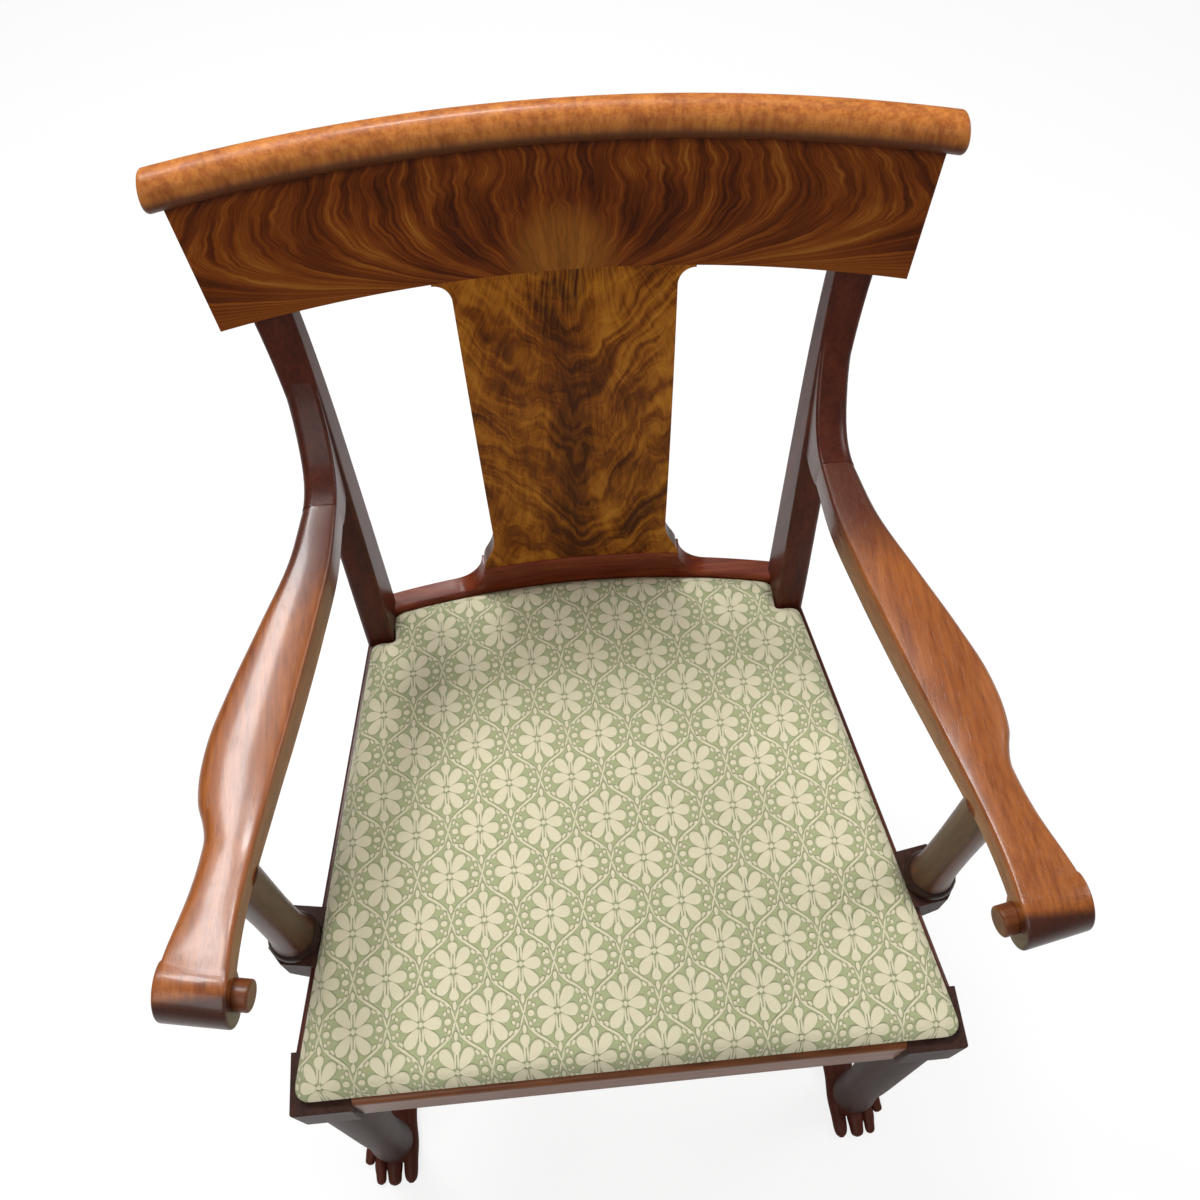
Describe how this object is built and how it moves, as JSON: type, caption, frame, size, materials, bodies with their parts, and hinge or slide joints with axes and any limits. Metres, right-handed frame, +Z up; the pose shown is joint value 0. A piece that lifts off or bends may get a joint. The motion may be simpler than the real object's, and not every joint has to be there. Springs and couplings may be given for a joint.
{
  "type": "dining armchair",
  "caption": "Wooden open armchair with a bowed tablet back and splat, scrolled arms on turned supports, paw-footed front legs and a lift-out upholstered seat.",
  "frame": {"origin": "on the floor, in the middle of the object's box", "axes": "+X to the right of someone who faces the chair, +Y to the back, +Z up; the chair faces -Y"},
  "size_m": [0.6046, 0.6135, 0.883],
  "materials": {
    "mahogany": "glossy polish",
    "dark_mahogany": "glossy polish, darkened",
    "figured_veneer": "glossy polish over flame figure",
    "beech": "bare",
    "screw_steel": "plain",
    "tack_steel": "blued",
    "webbing": "woven jute",
    "hessian": "coarse plain weave",
    "stuffing": "wadding",
    "seat_fabric": "jacquard weave with rosettes"
  },
  "bodies": {
    "chair_frame": {"rear_post_right": "mahogany", "rear_post_left": "mahogany", "crest_rail": "mahogany", "crest_roll": "mahogany", "crest_veneer_right": "figured_veneer", "crest_veneer_left": "figured_veneer", "splat": "mahogany", "splat_veneer_right": "figured_veneer", "splat_veneer_left": "figured_veneer", "rear_seat_rail": "mahogany", "front_seat_rail": "mahogany", "side_rail_right": "mahogany", "side_rail_left": "mahogany", "front_leg_right": "dark_mahogany", "front_leg_left": "dark_mahogany", "arm_right": "mahogany", "arm_left": "mahogany", "arm_scroll_bosses": "mahogany", "arm_dowels": "beech", "arm_support_right": "mahogany", "arm_support_left": "mahogany", "arm_support_bracket_right": "dark_mahogany", "arm_support_bracket_left": "dark_mahogany", "bracket_screws": "screw_steel", "front_corner_block_right": "beech", "front_corner_block_left": "beech", "rear_corner_block_right": "beech", "rear_corner_block_left": "beech", "corner_block_screws": "screw_steel"},
    "drop_in_seat": {"seat_frame_front": "beech", "seat_frame_rear": "beech", "seat_frame_right": "beech", "seat_frame_left": "beech", "webbing_lengthwise": "webbing", "webbing_crosswise": "webbing", "hessian": "hessian", "seat_stuffing": "stuffing", "seat_cover": "seat_fabric", "cover_tacks": "tack_steel"}
  },
  "joints": [
    {"name": "seat_lift", "type": "slide", "parent": "chair_frame", "child": "drop_in_seat", "axis": [0, 0, 1], "range_m": [0, 0.12]}
  ]
}
